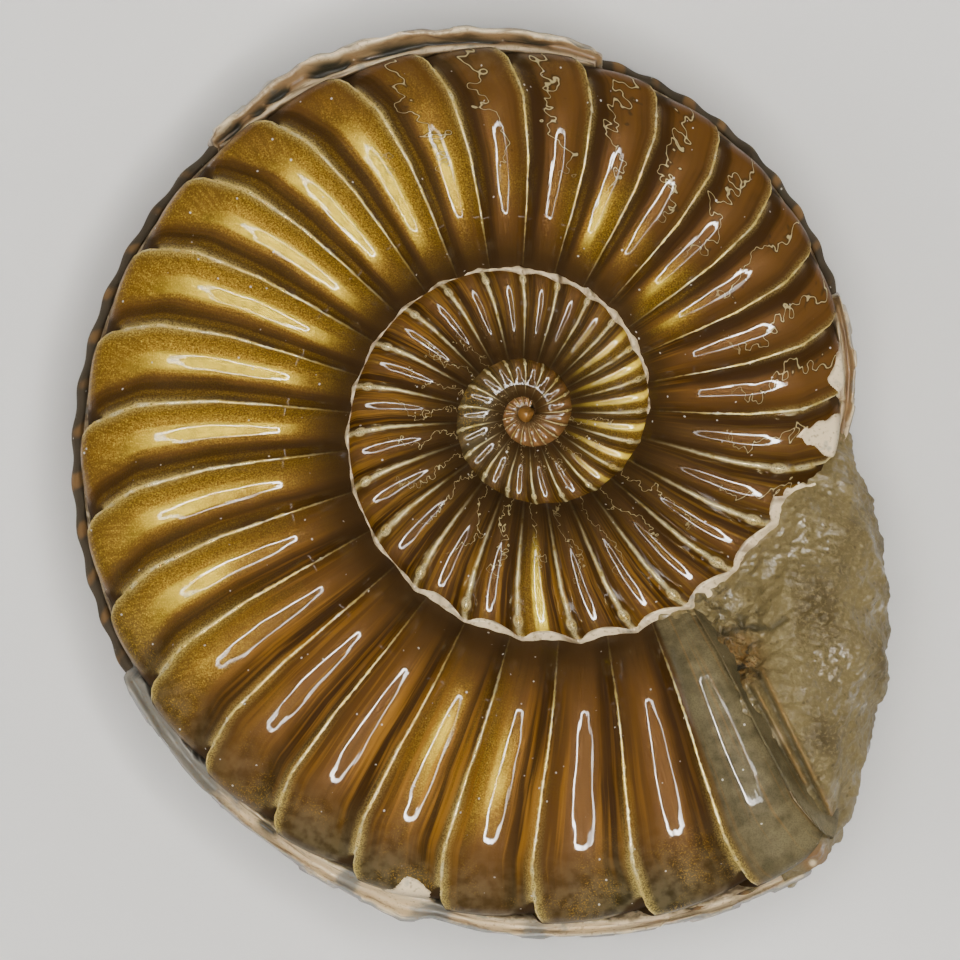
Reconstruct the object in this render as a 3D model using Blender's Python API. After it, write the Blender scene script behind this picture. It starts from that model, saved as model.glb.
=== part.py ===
"""A pyritised ammonite, lying on its flank, with the lump of matrix in its mouth.

The shell is one tube wound round the Z axis. Angles run counter-clockwise seen
from above, in degrees, and go on counting from turn to turn. Lengths are metres.
"""

import math

import bmesh
import bpy
import numpy as np
from mathutils import Matrix, Vector, noise

MM = 0.001

# Radius of the keel at every quarter turn, from the first chamber outwards.
KEEL_MM = (0.6, 1.0, 1.3, 1.85, 2.65, 3.2, 3.95, 5.05, 7.0, 8.35, 10.15, 12.85,
           16.2, 18.7, 22.7, 26.0, 28.6)
# Number of ribs passed at every quarter turn, counted back from the last turn's start.
RIB_COUNT = (-58.5, -54.5, -50.5, -46.5, -42.2, -38.0, -33.6, -29.26, -24.06, -18.03,
             -12.33, -6.8, 0.0, 7.04, 14.19, 21.8, 29.8)
LAST_TURN = 1080.0
FIRST_RIB, LAST_RIB = -50, 25

SEAM_SHARE = 0.862  # a turn covers the one before it down to this share of its radius
HALF_WIDTH_SHARE = 0.372  # half the shell's width, as a share of the whorl's height
RIB_SHARE = 0.056  # height of a rib above the hollow beside it, as a share of whorl height
KNOB_PLACE = 0.69
TUBERCLE_RELIEF = 0.45  # how much further a rib stands out where it ends in a knob
SHELL_CRUST_MM = 0.55  # thickness of the white shell still on the rim

# The flank from the seam (0) to the keel's top (1): place, height as a share of half width.
FLANK = ((0.16, 0.85), (0.30, 0.96), (0.50, 1.0), (0.69, 0.955), (0.82, 0.84),
         (0.905, 0.58), (0.935, 0.24), (0.97, 0.14))
# How far forward a rib lies at each place across the flank, in degrees.
RIB_PLACES = (0.0, 0.3, 0.5, 0.75, 0.88, 0.93, 0.96, 1.0)
RIB_FORWARD = (1.8, 0.3, 0.0, 1.0, 3.5, 6.5, 9.0, 11.0)
# How strongly the ribs stand out at each place across the flank.
RELIEF_PLACES = (0.0, 0.08, 0.2, 0.84, 0.92, 0.95, 1.0)
RELIEF = (0.0, 0.5, 1.0, 1.0, 0.9, 0.2, 0.0)
# Places between two rib crests: the wider the turn, the more it shows of the hollow.
BIG_RIB_STEPS = (0.0, 0.2, 0.5, 0.82)
RIB_STEPS = (0.0, 0.3, 0.7)
SMALL_RIB_STEPS = (0.0, 0.5)
BIG_RIBS_FROM, RIBS_FROM = 0, -42

# White shell left along the rim: start and end angle, and how thick it is there.
CRUSTS = ((78.0, 138.0, 1.0), (235.0, 262.0, 0.5), (340.0, 359.0, 0.4))

# The matrix: angle past the last turn's start, outer radius and half thickness in mm.
MATRIX_ANGLES = (301.0, 306.0, 311.0, 316.0, 324.0, 332.0, 340.0, 348.0, 356.0)
MATRIX_OUTER_MM = (24.6, 25.8, 25.8, 24.0, 22.3, 20.6, 19.0, 17.6, 16.8)
MATRIX_HALF_MM = (3.6, 4.4, 5.6, 5.4, 5.0, 4.5, 3.9, 2.9, 1.2)
MATRIX_STEP_DEG = 5.0
MATRIX_SIDES = 18
MATRIX_LUMP_MM = 0.45
LUMP_SIZE_MM = 3.2
LUMP_SEED = 3
# The broken hollow in the matrix close to the mouth: place, width and depth.
BREAK_AT_MM = (9.6, -10.6)
BREAK_WIDTH_MM = 2.6
BREAK_DEPTH_MM = 1.1
GAP_MM = 0.3

# How the fossil rests on its flank: the raised side and by how much.
TILT_DEG = 2.67
RAISED_SIDE_DEG = 254.5


def at_quarters(values, turn_deg):
    """A smooth curve through values given at every quarter turn."""
    place = min(max(turn_deg / 90.0, 0.0), len(values) - 1.001)
    index = int(place)
    part = place - index
    before = values[max(index - 1, 0)]
    here, after = values[index], values[index + 1]
    beyond = values[min(index + 2, len(values) - 1)]
    return here + 0.5 * part * (
        after - before
        + part * (2 * before - 5 * here + 4 * after - beyond
                  + part * (3 * (here - after) + beyond - before)))


def keel_radius(turn_deg):
    return at_quarters([math.log(r) for r in KEEL_MM], turn_deg)


def keel_mm(turn_deg):
    return math.exp(keel_radius(turn_deg))


def seam_mm(turn_deg):
    return SEAM_SHARE * keel_mm(turn_deg - 360.0) * (1.0 if turn_deg > 360.0 else 0.5)


def half_width_mm(turn_deg):
    return HALF_WIDTH_SHARE * (keel_mm(turn_deg) - seam_mm(turn_deg))


def crust(turn_deg):
    """How thick the remaining white shell is at this angle, from 0 to 1."""
    angle = turn_deg - LAST_TURN
    for start, end, amount in CRUSTS:
        if start <= angle <= end:
            return amount
    return 0.0


def forward_deg(turn_deg, place):
    """A rib's lead over its own middle. Near the mouth it leans back and bends less."""
    mouth = min(max((turn_deg - LAST_TURN - 190.0) / 100.0, 0.0), 1.0)
    bend = float(np.interp(place, RIB_PLACES, RIB_FORWARD))
    return bend * (1.0 - 0.45 * mouth) - 12.0 * mouth * (place - 0.5)


def rib_height(step, place):
    """Height between two crests: a hollow on the flank, a lobe with a steep back at the rim."""
    hollow = (2.0 * step - 1.0) ** 2
    lobe = 1.0 - 0.9 * step ** 2
    rim = min(max((place - 0.76) / 0.14, 0.0), 1.0)
    return hollow + (lobe - hollow) * rim


def foot_share(turn_deg):
    """Height of the seam on the turn before, as a share of this turn's half width."""
    return 0.86 * half_width_mm(turn_deg - 360.0) / half_width_mm(turn_deg)


def section_point(turn_deg, place, height, step, grow_mm):
    """One point of the whorl's section: angle, radius and height above the middle plane."""
    angle = turn_deg + forward_deg(turn_deg, place)
    inner, outer = seam_mm(angle), keel_mm(angle)
    tall = outer - inner
    relief = rib_height(step, place) * float(np.interp(place, RELIEF_PLACES, RELIEF))
    if turn_deg < LAST_TURN and step == 0.0 and place == KNOB_PLACE:
        relief += TUBERCLE_RELIEF
    relief *= RIB_SHARE * tall
    outwards = math.radians(np.interp(place, (0.0, 0.16, 0.3, 0.69, 0.82, 0.905, 1.0),
                                      (-60, -30, 0, 8, 30, 62, 90)))
    shell = SHELL_CRUST_MM * crust(angle) if place > 0.93 else 0.0
    radius = inner + place * tall + (relief + grow_mm + 0.6 * shell) * math.sin(outwards)
    z = height * half_width_mm(angle) + (relief + grow_mm) * math.cos(outwards) + shell
    return angle, radius, z


def section(turn_deg, step, grow_mm):
    """The whorl's closed outline at one angle, from the hidden inner side over both flanks."""
    foot = foot_share(turn_deg)
    inner = seam_mm(turn_deg)
    hidden_radius = inner - 0.1 * (keel_mm(turn_deg - 360.0) - inner / 2)
    hidden_height = 0.5 * foot * half_width_mm(turn_deg)
    flank = [(turn_deg + forward_deg(turn_deg, 0.0), hidden_radius, hidden_height)]
    flank.append(section_point(turn_deg, 0.0, foot, step, grow_mm))
    for place, height in FLANK:
        flank.append(section_point(turn_deg, place, height, step, grow_mm))
    top = section_point(turn_deg, 1.0, 0.0, step, grow_mm)
    below = [(angle, radius, -z) for angle, radius, z in reversed(flank)]
    outline = flank + [(top[0], top[1], 0.0)] + below
    return [polar(angle, radius, z) for angle, radius, z in outline]


def polar(angle_deg, radius_mm, z_mm):
    angle = math.radians(angle_deg)
    return Vector((radius_mm * math.cos(angle), radius_mm * math.sin(angle), z_mm)) * MM


def rib_turn(rib_number):
    """The angle at which this rib number is reached."""
    low, high = 0.0, 90.0 * (len(RIB_COUNT) - 1)
    while high - low > 0.01:
        middle = 0.5 * (low + high)
        if at_quarters(RIB_COUNT, middle) < rib_number:
            low = middle
        else:
            high = middle
    return low


def loft(name, sections, collection):
    """A closed tube through outlines that all have the same number of points."""
    mesh = bmesh.new()
    rings = [[mesh.verts.new(point) for point in outline] for outline in sections]
    for ring, following in zip(rings, rings[1:]):
        for i in range(len(ring)):
            j = (i + 1) % len(ring)
            mesh.faces.new((ring[i], ring[j], following[j], following[i]))
    mesh.faces.new(rings[0])
    mesh.faces.new(reversed(rings[-1]))
    bmesh.ops.recalc_face_normals(mesh, faces=mesh.faces)
    data = bpy.data.meshes.new(name)
    mesh.to_mesh(data)
    mesh.free()
    obj = bpy.data.objects.new(name, data)
    collection.objects.link(obj)
    return obj


def shell_sections(first_rib, last_rib, grow_mm):
    outlines = []
    for rib_number in range(first_rib, last_rib):
        steps = SMALL_RIB_STEPS
        if rib_number >= BIG_RIBS_FROM:
            steps = BIG_RIB_STEPS
        elif rib_number >= RIBS_FROM:
            steps = RIB_STEPS
        for step in steps:
            outlines.append(section(rib_turn(rib_number + step), step, grow_mm))
    outlines.append(section(rib_turn(last_rib), 0.0, grow_mm))
    if grow_mm:
        outlines.append(section(rib_turn(last_rib + 0.13), 0.0, grow_mm))
    return outlines


def join(target, other, operation):
    change = target.modifiers.new(operation.title(), "BOOLEAN")
    change.operation = operation
    change.object = other
    change.solver = "EXACT"
    change.use_self = True
    other.hide_render = True
    other.display_type = "WIRE"


def roughened(point, amount):
    """The point moved by the stone's lumps and by the broken hollow near the mouth."""
    lump = noise.noise_vector(point / (LUMP_SIZE_MM * MM)) * MATRIX_LUMP_MM * MM * amount
    away = (Vector(BREAK_AT_MM) * MM - point.xy).length / (BREAK_WIDTH_MM * MM)
    if point.z > 0.0:
        lump.z -= BREAK_DEPTH_MM * MM * math.exp(-away ** 4)
    return point + lump


def matrix_sections():
    """Lumpy outlines round the matrix, from inside the mouth to its thin end."""
    outlines = []
    for angle in np.arange(MATRIX_ANGLES[0], MATRIX_ANGLES[-1] + 0.1, MATRIX_STEP_DEG):
        outer = float(np.interp(angle, MATRIX_ANGLES, MATRIX_OUTER_MM))
        half = float(np.interp(angle, MATRIX_ANGLES, MATRIX_HALF_MM))
        inner = 0.8 * keel_mm(LAST_TURN - 360.0 + angle)
        outline = []
        for i in range(MATRIX_SIDES):
            turn = 2.0 * math.pi * i / MATRIX_SIDES
            radius = 0.5 * (inner + outer) + 0.5 * (outer - inner) * math.cos(turn)
            up = math.copysign(abs(math.sin(turn)) ** 0.6, math.sin(turn))
            amount = (half / MATRIX_HALF_MM[2]) ** 2
            outline.append(roughened(polar(angle, radius, half * up), amount))
        outlines.append(outline)
    return outlines


def material(name, colour, metallic, roughness):
    made = bpy.data.materials.new(name)
    made.use_nodes = True
    shader = made.node_tree.nodes["Principled BSDF"]
    shader.inputs["Base Color"].default_value = (*colour, 1.0)
    shader.inputs["Metallic"].default_value = metallic
    shader.inputs["Roughness"].default_value = roughness
    return made


def bounds(objects):
    graph = bpy.context.evaluated_depsgraph_get()
    points = []
    for obj in objects:
        evaluated = obj.evaluated_get(graph)
        points += [obj.matrix_world @ vertex.co for vertex in evaluated.to_mesh().vertices]
        evaluated.to_mesh_clear()
    low = [min(point[axis] for point in points) for axis in range(3)]
    high = [max(point[axis] for point in points) for axis in range(3)]
    return low, high


def main():
    for obj in list(bpy.data.objects):
        bpy.data.objects.remove(obj, do_unlink=True)
    noise.seed_set(LUMP_SEED)
    scene = bpy.context.scene
    fossil = bpy.data.collections.new("ammonite fossil")
    cutters = bpy.data.collections.new("cutters")
    scene.collection.children.link(fossil)
    scene.collection.children.link(cutters)

    ammonite = loft("ammonite", shell_sections(FIRST_RIB, LAST_RIB, 0.0), fossil)
    ammonite.data.materials.append(material("pyrite", (0.33, 0.21, 0.05), 1.0, 0.25))
    bpy.ops.mesh.primitive_ico_sphere_add(subdivisions=2, radius=1.2 * MM)
    hub = bpy.context.active_object
    hub.name = "first_chamber"
    hub.scale.z = 0.5
    join(ammonite, hub, "UNION")

    matrix = loft("matrix", matrix_sections(), fossil)
    matrix.data.materials.append(material("matrix", (0.16, 0.13, 0.08), 0.0, 0.5))
    clearance = loft("shell_clearance", shell_sections(-7, LAST_RIB, GAP_MM), cutters)
    join(matrix, clearance, "DIFFERENCE")

    holder = bpy.data.objects.new("specimen", None)
    fossil.objects.link(holder)
    for obj in (ammonite, matrix, hub, clearance):
        obj.parent = holder
    axis = Vector((-math.sin(math.radians(RAISED_SIDE_DEG)),
                   math.cos(math.radians(RAISED_SIDE_DEG)), 0.0))
    holder.matrix_world = Matrix.Rotation(math.radians(-TILT_DEG), 4, axis)
    bpy.context.view_layer.update()
    low, high = bounds((ammonite, matrix))
    middle = Vector((-(low[0] + high[0]) / 2, -(low[1] + high[1]) / 2, -low[2]))
    holder.matrix_world = Matrix.Translation(middle) @ holder.matrix_world


main()
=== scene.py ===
"""A pyritised ammonite lying on a pale table, seen along the axis that it coils round.

Angles are in degrees, counter-clockwise seen from above, and count on from turn to turn.
Lengths are millimetres until a mesh is made, which is in metres.
"""

import math

import bpy
import numpy as np
from mathutils import Matrix, Vector


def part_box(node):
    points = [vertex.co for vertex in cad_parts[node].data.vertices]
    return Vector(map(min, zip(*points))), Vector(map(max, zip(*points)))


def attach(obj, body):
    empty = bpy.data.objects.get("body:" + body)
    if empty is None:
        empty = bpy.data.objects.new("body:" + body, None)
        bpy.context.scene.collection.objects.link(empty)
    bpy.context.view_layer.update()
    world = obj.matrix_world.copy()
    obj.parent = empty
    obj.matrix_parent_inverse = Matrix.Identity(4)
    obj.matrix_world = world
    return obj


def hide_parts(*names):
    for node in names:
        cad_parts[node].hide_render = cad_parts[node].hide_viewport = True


MM = 0.001

# The coil, as in the part: the keel's radius and the rib number at every quarter turn.
KEEL_MM = (0.6, 1.0, 1.3, 1.85, 2.65, 3.2, 3.95, 5.05, 7.0, 8.35, 10.15, 12.85,
           16.2, 18.7, 22.7, 26.0, 28.6)
RIB_COUNT = (-58.5, -54.5, -50.5, -46.5, -42.2, -38.0, -33.6, -29.26, -24.06, -18.03,
             -12.33, -6.8, 0.0, 7.04, 14.19, 21.8, 29.8)
LAST_TURN = 1080.0  # the angle at which the last whorl starts
SEAM_SHARE = 0.862  # a whorl starts at this share of the keel's radius one turn before
HALF_WIDTH_SHARE = 0.372  # half the width of a whorl, as a share of its height from seam to keel
RIB_SHARE = 0.058  # how far a rib stands out, as a share of the same height
KNOB_SHARE = 0.045  # how much further it does so at a knob
KNOB_PLACE = 0.70
KNOB_LENGTH = 0.11  # as a share of the distance between two ribs
TILT_DEG = 2.67  # the coil's tilt as it lies on the table
RAISED_SIDE_DEG = 254.5
COIL_FROM_CORNER_MM = (22.686, 26.045, 5.803)  # from the fossil's lowest corner

# The flank's outline from seam to keel: place, height above the seam as a share of the rest
# (from place 0.93 on, of the whole half width), the way that it faces (0 up, 90 outwards) and
# how strongly the ribs stand out there. Places are shares of the way from seam to keel.
OUTLINE = (
    (-0.05, -0.35, -60, 0.0), (0.0, 0.0, -60, 0.0), (0.05, 0.33, -55, 0.3), (0.10, 0.60, -45, 0.6),
    (0.16, 0.80, -30, 0.9), (0.23, 0.92, -15, 1.0), (0.33, 0.975, -4, 1.0), (0.50, 1.0, 0, 1.0),
    (0.62, 0.985, 3, 1.0), (0.72, 0.935, 12, 1.0), (0.76, 0.89, 18, 1.0), (0.80, 0.82, 28, 1.0),
    (0.84, 0.725, 42, 1.0), (0.88, 0.58, 60, 1.0), (0.905, 0.52, 70, 1.0), (0.922, 0.46, 78, 0.8),
    (0.930, 0.34, 80, 0.5), (0.936, 0.20, 80, 0.3), (0.940, 0.09, 60, 0.15), (0.947, 0.06, 20, 0.0),
    (0.955, 0.12, -40, 0.0), (0.966, 0.22, 0, 0.0), (0.984, 0.21, 35, 0.0), (0.996, 0.12, 70, 0.0),
    (1.0, 0.0, 90, 0.0))

# A rib's lead over its own middle, in degrees, at places from seam to keel.
RIB_PLACES = (-0.05, 0.0, 0.3, 0.5, 0.75, 0.88, 0.93, 0.96, 1.0)
RIB_FORWARD = (2.0, 1.8, 0.3, 0.0, 1.0, 3.5, 6.5, 9.0, 11.0)

HOLLOW_AT = 0.47  # the deepest place between two crests
CREST_ROUNDING = 0.09
LAST_BACK = 24.4  # the rib number from which a crest has no back
MOUTH_RIBS = (24.5, 25.4)  # the flank goes under the stone between these rib numbers
MOUTH_DEPTH_MM = 2.6
LAYER_DIP_MM = 0.4  # how far a layer of shell dips below the coil where it ends

# Stretches of the coil: name, first and last rib, columns to a rib, rows on each flank.
STRETCHES = (("last_whorl", 0, MOUTH_RIBS[1], 30, 66, 30), ("inner_whorls", -24, 0, 26, 56, 26),
             ("first_whorls", -56, -24, 14, 46, 20))

# Soft spots of colour: angle from the last turn's start, place, spread in degrees, spread in
# place, strength.
GOLD_SPOTS = ((165, 0.55, 40, 0.5, 1.0), (118, 0.45, 22, 0.3, 0.7), (68, 0.30, 12, 0.2, 0.8),
              (38, 0.22, 9, 0.16, 1.0), (260, 0.45, 10, 0.25, 0.85), (208, 0.75, 14, 0.25, 0.6),
              (-358, 0.5, 46, 0.5, 1.0), (-88, 0.6, 5, 0.4, 1.0))
AMBER_SPOTS = ((262, 0.55, 26, 0.3, 1.0), (225, 0.4, 20, 0.3, 0.6), (20, 0.1, 40, 0.1, 0.6),
               (-80, 0.5, 40, 0.4, 0.5), (-200, 0.6, 60, 0.4, 0.5))
OLIVE_SPOTS = ((285, 0.9, 12, 0.16, 0.9), (250, 0.92, 22, 0.13, 0.9), (314, 0.5, 8, 1.0, 1.0),
               (215, 0.92, 12, 0.1, 0.5), (95, 0.95, 12, 0.1, 0.5), (-330, 0.3, 60, 0.3, 0.3),
               (-540, 0.5, 65, 0.8, 0.75))
GREY_SPOTS = ((222, 0.97, 12, 0.2, 1.0), (249, 0.97, 2, 0.04, 0.8), (259.5, 0.98, 3, 0.05, 0.9),
              (271, 0.98, 2, 0.05, 0.7))

# The bead in the middle has the same value of each attribute all over.
FIRST_CHAMBER = {"rib": 0.8, "place": 0.5, "turn": -2.9, "gold": 0.0, "amber": 0.6, "olive": 0.0}

# The shell left on the rim: angle, the place of its inner edge, how far it stands out at the
# keel and the height that it fills the furrow to.
RIM_SHELL = ((-24, 1.1, 0.0, 0.0), (-22, 0.92, 0.1, 0.4), (-19, 0.78, 0.1, 0.6), (-16, 0.78, 0.1, 0.6),
             (-13, 0.88, 0.1, 0.5), (-10, 0.95, 0.1, 0.5), (-7, 0.85, 0.1, 0.6), (-4.5, 0.74, 0.1, 0.6),
             (-2, 0.82, 0.15, 0.7), (0, 0.90, 0.2, 1.4), (2, 0.95, 0.25, 1.8), (4, 0.88, 0.3, 1.9),
             (7, 0.85, 0.3, 1.9), (11, 0.90, 0.3, 1.9), (16, 0.94, 0.2, 1.9), (21, 0.97, 0.1, 1.6),
             (24, 1.1, 0.0, 0.0), (77, 1.1, 0.0, 0.0), (78.5, 0.935, 0.35, 1.7), (100, 0.93, 0.7, 2.1),
             (120, 0.93, 0.95, 2.2), (127, 0.935, 0.85, 2.1), (130, 0.94, 0.6, 2.0),
             (138, 0.945, 0.45, 1.9), (144, 1.1, 0.0, 0.0), (211, 1.1, 0.0, 0.0),
             (214, 0.945, 0.25, 1.8), (235, 0.940, 0.3, 2.0), (248, 0.935, 0.35, 2.0),
             (252.5, 0.93, 0.4, 2.0), (254, 0.90, 0.55, 2.1), (256, 0.865, 0.7, 2.1),
             (258, 0.875, 0.4, 2.1), (259.5, 0.935, 0.2, 2.0),
             (264, 0.945, 0.3, 2.0), (276, 0.95, 0.2, 1.9), (292, 0.96, 0.15, 1.9),
             (301, 0.95, 0.1, 1.6), (305, 1.1, 0.0, 0.0))
BOTTOM_RIM_TURNS = (3.44, 3.52)  # where, in turns, it changes to how it looks along the bottom
FLAKE_MM = 0.14
# Cavities in it: angle, the place across it, length in degrees and width.
CAVITIES = ((81.5, 0.86, 2.2, 0.06), (90, 0.66, 4.0, 0.10), (100, 0.60, 7.0, 0.10),
            (110, 0.58, 6.0, 0.13), (119.5, 0.62, 3.6, 0.17), (128, 0.62, 2.2, 0.14),
            (131.5, 0.55, 1.2, 0.12), (136.5, 0.6, 2.4, 0.18), (238, 0.5, 1.5, 0.15))

# The stone: its outer edge and half its thickness at these angles.
MATRIX_ANGLES = (299.0, 304.0, 309.0, 313.0, 318.0, 324.0, 332.0, 340.0, 348.0, 355.0, 358.0)
MATRIX_OUTER_MM = (26.9, 26.9, 25.7, 24.5, 23.35, 22.3, 20.4, 19.0, 17.3, 16.25, 15.9)
MATRIX_HALF_MM = (3.6, 5.0, 5.6, 5.7, 5.3, 5.0, 4.5, 3.9, 2.9, 1.7, 0.8)

# Lines and spots on the stone, in mm from the middle of the coil. A spot's third number is its
# width.
# Creases with painted shade: a crack along a broken step, and a shadow line beside each of the two ridges.
SHADED_CREASES = (((9.5, -11.0), (10.7, -10.65), (12.25, -10.75), (12.95, -10.2)),
          ((11.2, -13.7), (13.75, -18.5)), ((11.6, -12.95), (15.2, -20.3)))
RIDGES = (((11.4, -13.6), (13.95, -18.4)), ((11.8, -12.8), (15.4, -20.2)))
WET_SPOTS = ((13.3, -6.5, 2.2), (15.4, -13.6, 1.6), (15.2, -2.8, 1.2), (9.8, -9.6, 0.9),
             (11.6, -7.6, 1.2))
BROKEN_SPOT = (9.6, -10.6, 2.6)
BROWN_SPOT = (10.4, -12.3, 1.5)
RUST_SPOT = (14.5, -22.2, 0.8)
PALE_SPOT = (14.4, -22.5, 0.18)
FADED_SPOT = (12.3, -16.2, 0.55)

# The photograph.
PHOTO_PIXELS = 960
MM_PER_PIXEL = 0.05
COIL_PIXEL = (526, 414)  # the middle of the coil
FOCUS_MM = 5.0  # the height above the coil's middle plane that the camera looks at

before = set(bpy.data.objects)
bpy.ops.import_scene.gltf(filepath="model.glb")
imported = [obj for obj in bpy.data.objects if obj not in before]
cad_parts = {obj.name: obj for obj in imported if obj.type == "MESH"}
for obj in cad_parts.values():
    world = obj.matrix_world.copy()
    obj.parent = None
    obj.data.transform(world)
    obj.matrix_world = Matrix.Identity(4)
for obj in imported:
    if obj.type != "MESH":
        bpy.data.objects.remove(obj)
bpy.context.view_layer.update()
coil_centre_mm = np.array(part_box("ammonite")[0]) / MM + COIL_FROM_CORNER_MM


def smooth_steps(x, start, end):
    """0 before start, 1 after end, and smooth between them."""
    share = np.clip((x - start) / (end - start), 0.0, 1.0)
    return share * share * (3.0 - 2.0 * share)


def wave_noise(points, size, seed):
    """Smooth lumps from -1 to 1 of about this size, the same each run."""
    rng = np.random.default_rng(seed)
    total = np.zeros(len(points))
    for _ in range(14):
        way = rng.normal(size=3)
        way /= np.linalg.norm(way)
        total += np.sin(points @ way * (2.0 * np.pi / size) * rng.uniform(0.6, 1.6)
                        + rng.uniform(0.0, 2.0 * np.pi))
    return total / 3.7


def at_quarters(values, turn):
    """A smooth curve through values given at every quarter turn."""
    values = np.asarray(values, float)
    place = np.clip(turn / 90.0, 0.0, len(values) - 1.001)
    index = place.astype(int)
    part = place - index
    before = values[np.maximum(index - 1, 0)]
    here, after = values[index], values[index + 1]
    beyond = values[np.minimum(index + 2, len(values) - 1)]
    return here + 0.5 * part * (
        after - before
        + part * (2 * before - 5 * here + 4 * after - beyond
                  + part * (3 * (here - after) + beyond - before)))


def keel_mm(turn):
    """The keel's radius at an angle."""
    return np.exp(at_quarters(np.log(KEEL_MM), turn))


def seam_mm(turn):
    """The radius of the seam with the whorl before."""
    return SEAM_SHARE * keel_mm(turn - 360.0) * np.where(turn > 360.0, 1.0, 0.5)


def half_width_mm(turn):
    """Half the width of a whorl, which is its height above the coil's middle plane."""
    return HALF_WIDTH_SHARE * (keel_mm(turn) - seam_mm(turn))


def foot_share(turn):
    """The height of the seam, as a share of half the whorl's width."""
    return 0.86 * half_width_mm(turn - 360.0) / half_width_mm(turn)


def rib_turns(rib_numbers):
    """The angles at which these rib numbers are reached."""
    turns = np.linspace(0.0, 90.0 * (len(RIB_COUNT) - 1), 8000)
    return np.interp(rib_numbers, at_quarters(RIB_COUNT, turns), turns)


def forward_deg(turn, place):
    """A rib's lead over its own middle. Near the mouth it leans back and bends less."""
    mouth = np.clip((turn - LAST_TURN - 190.0) / 100.0, 0.0, 1.0)
    bend = np.interp(place, RIB_PLACES, RIB_FORWARD)
    keel = smooth_steps(place, 0.91, 0.96)
    last = smooth_steps(turn - LAST_TURN, 268.0, 296.0) * (3.5 + 4.4 * (place - 0.45))
    return bend * (1.0 - 0.45 * mouth) - 12.0 * mouth * (place - 0.5) - 4.0 * mouth * keel + last


def rib_height(rib, place):
    """Height between two crests: a hollow on the flank, a lobe with a steep back at the rim.

    The first whorls have short ribs, only on the outer half of the flank.
    """
    step = rib - np.floor(rib)
    front = np.clip((HOLLOW_AT - step) / HOLLOW_AT, 0.0, 1.0) ** 2.2
    back = np.clip((step - HOLLOW_AT) / (1.0 - HOLLOW_AT), 0.0, 1.0) ** 2.4
    back = back * (rib < LAST_BACK)
    lobe = 1.0 - 0.9 * step ** 2
    rim = smooth_steps(place, 0.81, 0.93)
    below = 1.0 - front - back
    flank = 1.0 + CREST_ROUNDING - np.hypot(below, CREST_ROUNDING)
    early = 1.0 - smooth_steps(rib, -36.0, -24.0)
    flank = flank * (1.0 - early * (1.0 - smooth_steps(place, 0.30, 0.62)))
    return flank + (lobe - flank) * rim


def outline_rows(count):
    """Rows across the flank at even distances: place, height, facing and relief."""
    knots = np.array(OUTLINE)
    away = np.hypot(np.diff(knots[:, 0]), 0.42 * np.diff(knots[:, 1]))
    along = np.concatenate([[0.0], np.cumsum(away)])
    fine_count, reach = 2000, 30
    fine = np.linspace(0.0, along[-1], fine_count)
    kernel = np.hanning(2 * reach + 1)
    kernel = kernel / kernel.sum()
    chosen = np.linspace(0.0, fine_count - 1.0, count)
    rows = []
    for column in knots.T:
        values = np.pad(np.interp(fine, along, column), reach, mode="reflect", reflect_type="odd")
        smooth = np.convolve(values, kernel, mode="valid")
        rows.append(np.interp(chosen, np.arange(fine_count), smooth))
    return np.array(rows)


def shell_point(rib, turn, row):
    """Angle, radius and height of the flank's surface, for ribs down and rows across."""
    place, height, facing, relief = row
    angle = turn + forward_deg(turn, place)
    inner, outer = seam_mm(angle), keel_mm(angle)
    tall = outer - inner
    half = half_width_mm(angle)
    foot = foot_share(angle)
    share = np.where(height >= 0.0, foot + (1.0 - foot) * height, foot * (1.0 + height))
    share = share + (height - share) * smooth_steps(place, 0.90, 0.93)
    deeper = 1.0 + 0.4 * (1.0 - smooth_steps(rib, -4.0, 0.0))
    stands = RIB_SHARE * tall * relief * rib_height(rib, place) * deeper
    step = np.abs(rib - np.round(rib))
    knob = np.exp(-((place - KNOB_PLACE) / 0.04) ** 4 - (step / KNOB_LENGTH) ** 2)
    inner_rim = smooth_steps(place, 0.76, 0.84) * (1.0 - smooth_steps(rib, -3.0, -0.5))
    stands = stands * (1.0 - 0.8 * inner_rim) + KNOB_SHARE * tall * knob * (angle < LAST_TURN)
    way = np.radians(facing)
    radius = inner + place * tall + stands * np.sin(way)
    z = share * half + stands * np.cos(way)
    tucked = np.clip((rib - MOUTH_RIBS[0]) / (MOUTH_RIBS[1] - MOUTH_RIBS[0]), 0.0, 1.0) ** 3
    radius = radius - MOUTH_DEPTH_MM * tucked * smooth_steps(place, 0.75, 0.95)
    return angle, radius, np.maximum(z - MOUTH_DEPTH_MM * tucked, np.minimum(z, 0.0))


def placed(points_mm):
    """Points of the coil moved to where the part lies on the table, in metres."""
    raised = math.radians(RAISED_SIDE_DEG)
    axis = Vector((-math.sin(raised), math.cos(raised), 0.0))
    turn = np.array(Matrix.Rotation(math.radians(-TILT_DEG), 3, axis))
    return (np.asarray(points_mm) @ turn.T + coil_centre_mm) * MM


def grid_faces(columns, rows):
    """Quads between neighbouring columns and rows."""
    first = np.arange(columns - 1)[:, None] * rows + np.arange(rows - 1)[None, :]
    quads = np.stack([first, first + rows, first + rows + 1, first + 1], axis=-1)
    return quads.reshape(-1, 4).tolist()


def tube_faces(columns, rows, flip=False, ends=True):
    """Faces of a tube with columns along it and rows around it, and its two ends."""
    faces = grid_faces(columns, rows)
    for start in range(0, (columns - 1) * rows, rows):
        faces.append([start + rows - 1, start + 2 * rows - 1, start + rows, start])
    if ends:
        faces.append(list(range(rows)))
        faces.append(list(range((columns - 1) * rows, columns * rows))[::-1])
    return [face[::-1] for face in faces] if flip else faces


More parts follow.
